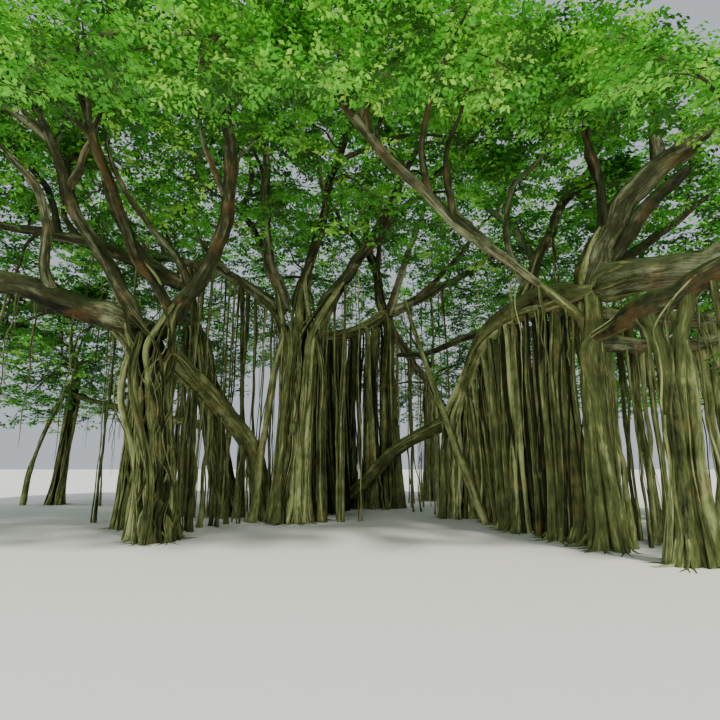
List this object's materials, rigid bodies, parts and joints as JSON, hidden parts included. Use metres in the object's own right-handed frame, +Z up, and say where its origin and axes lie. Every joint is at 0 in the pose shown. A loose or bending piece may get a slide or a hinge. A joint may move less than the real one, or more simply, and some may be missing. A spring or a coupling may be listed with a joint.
{
  "type": "banyan tree",
  "caption": "Large banyan: trunks and walls of fused hanging roots joined by long boughs under one wide domed crown of foliage.",
  "frame": {"origin": "middle of the flat cut under the main trunk, at ground level", "axes": "+Z up, +Y away from the path side that the picture was taken from, +X to that view's right"},
  "size_m": [34.2418, 26.0637, 17.4789],
  "materials": {
    "root_bark": "rough, ridged along the roots",
    "bough_bark": "rough grey bark with lichen and moss",
    "leaves": "satin leaves"
  },
  "bodies": {
    "root": {"arch_limb": "root_bark", "bough_centre_back": "bough_bark", "bough_centre_left": "bough_bark", "bough_centre_mid": "bough_bark", "bough_centre_right": "bough_bark", "bough_centre_west": "bough_bark", "bough_left_cross": "bough_bark", "bough_left_front": "bough_bark", "bough_left_high": "bough_bark", "bough_left_inner": "bough_bark", "bough_left_low": "bough_bark", "bough_left_rear": "bough_bark", "bough_mid_left": "bough_bark", "bough_middle_back": "bough_bark", "bough_middle_right": "bough_bark", "bough_middle_up": "bough_bark", "bough_right_great": "bough_bark", "bough_right_level_lower": "bough_bark", "bough_right_level_rear": "bough_bark", "bough_right_level_upper": "bough_bark", "bough_right_long": "bough_bark", "bough_wall_back": "bough_bark", "bough_wall_rise": "bough_bark", "foliage_centre_back": "leaves", "foliage_centre_left": "leaves", "foliage_centre_mid": "leaves", "foliage_centre_right": "leaves", "foliage_centre_west": "leaves", "foliage_far_left": "leaves", "foliage_left_cross": "leaves", "foliage_left_front": "leaves", "foliage_left_high": "leaves", "foliage_left_inner": "leaves", "foliage_left_low": "leaves", "foliage_left_rear": "leaves", "foliage_mid_left": "leaves", "foliage_middle_back": "leaves", "foliage_middle_right": "leaves", "foliage_middle_up": "leaves", "foliage_right_great": "leaves", "foliage_right_level_lower": "leaves", "foliage_right_level_rear": "leaves", "foliage_right_level_upper": "leaves", "foliage_right_long": "leaves", "foliage_wall_back": "leaves", "foliage_wall_rise": "leaves", "leaning_root": "root_bark", "low_bough_left": "bough_bark", "pillar_right": "root_bark", "root_curtain_middle": "root_bark", "root_wall_right": "root_bark", "trunk_back": "root_bark", "trunk_centre": "root_bark", "trunk_far_left": "root_bark", "trunk_leaning": "root_bark", "trunk_left": "root_bark", "trunk_left_rear": "root_bark", "trunk_mid_left": "root_bark", "trunk_right": "root_bark"}
  },
  "joints": []
}
